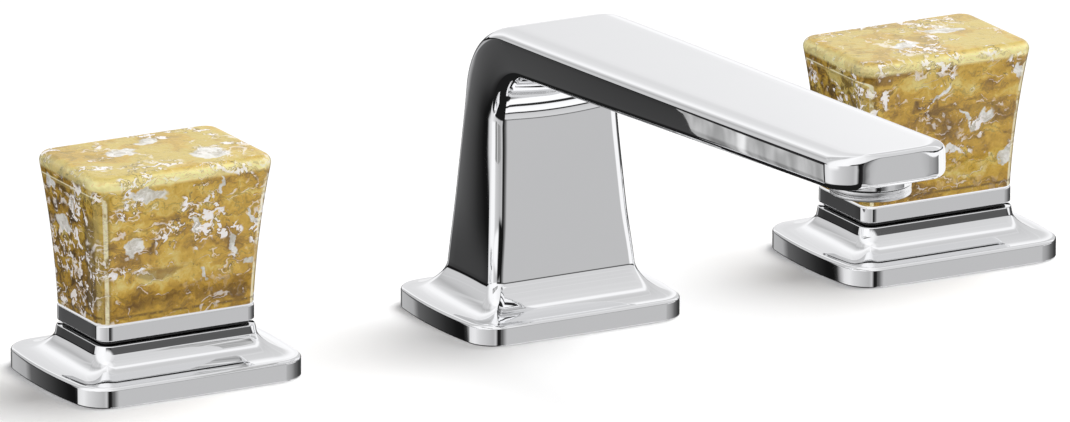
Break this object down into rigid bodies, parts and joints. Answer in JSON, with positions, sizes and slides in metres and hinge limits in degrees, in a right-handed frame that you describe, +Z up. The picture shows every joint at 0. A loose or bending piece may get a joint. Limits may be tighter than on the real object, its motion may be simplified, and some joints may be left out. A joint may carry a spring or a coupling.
{
  "type": "bathroom faucet",
  "caption": "Widespread bathroom faucet with a flat rectangular spout and block handles, each on its own flared plate, with valves and clamping nuts below the deck.",
  "frame": {"origin": "centre of the spout's deck hole, on the deck's top", "axes": "+X along the row of units to the right-hand handle, +Y to the back, +Z up; the spout points along -Y"},
  "size_m": [0.263, 0.1869, 0.1517],
  "materials": {
    "chrome": "polished",
    "gold_leaf_block": "clear glossy coat over gold leaf with pale flakes",
    "brass": "machined",
    "steel": "brushed",
    "ceramic": "polished ceramic",
    "rubber": "matte",
    "foam": "matte closed-cell foam",
    "black_plastic": "satin",
    "grey_plastic": "satin"
  },
  "bodies": {
    "fixed_units": {"spout_body": "chrome", "spout_gasket": "foam", "spout_shank": "brass", "shank_seal": "rubber", "spout_washer": "steel", "spout_lock_nut": "brass", "spout_tee": "brass", "aerator_housing": "chrome", "aerator_insert": "grey_plastic", "aerator_screen": "steel", "aerator_seal": "rubber", "handle_plate_left": "chrome", "plate_gasket_left": "foam", "glide_ring_left": "black_plastic", "stem_seal_left": "rubber", "bonnet_nut_left": "brass", "cartridge_sleeve_left": "brass", "fixed_disc_left": "ceramic", "seat_seal_left": "rubber", "valve_body_left": "brass", "mount_ring_left": "brass", "deck_washer_left": "steel", "lock_nut_left": "brass", "handle_plate_right": "chrome", "plate_gasket_right": "foam", "glide_ring_right": "black_plastic", "stem_seal_right": "rubber", "bonnet_nut_right": "brass", "cartridge_sleeve_right": "brass", "fixed_disc_right": "ceramic", "seat_seal_right": "rubber", "valve_body_right": "brass", "mount_ring_right": "brass", "deck_washer_right": "steel", "lock_nut_right": "brass"},
    "left_handle": {"handle_band_left": "chrome", "handle_block_left": "gold_leaf_block", "handle_hub_left": "brass", "set_screw_left": "steel", "valve_stem_left": "brass", "moving_disc_left": "ceramic"},
    "right_handle": {"handle_band_right": "chrome", "handle_block_right": "gold_leaf_block", "handle_hub_right": "brass", "set_screw_right": "steel", "valve_stem_right": "brass", "moving_disc_right": "ceramic"}
  },
  "joints": [
    {"name": "left_handle_turn", "type": "hinge", "parent": "fixed_units", "child": "left_handle", "pos_m": [-0.1016, 0, 0], "axis": [0, 0, 1], "range_deg": [0, 90]},
    {"name": "right_handle_turn", "type": "hinge", "parent": "fixed_units", "child": "right_handle", "pos_m": [0.1016, 0, 0], "axis": [0, 0, 1], "range_deg": [-90, 0]}
  ]
}
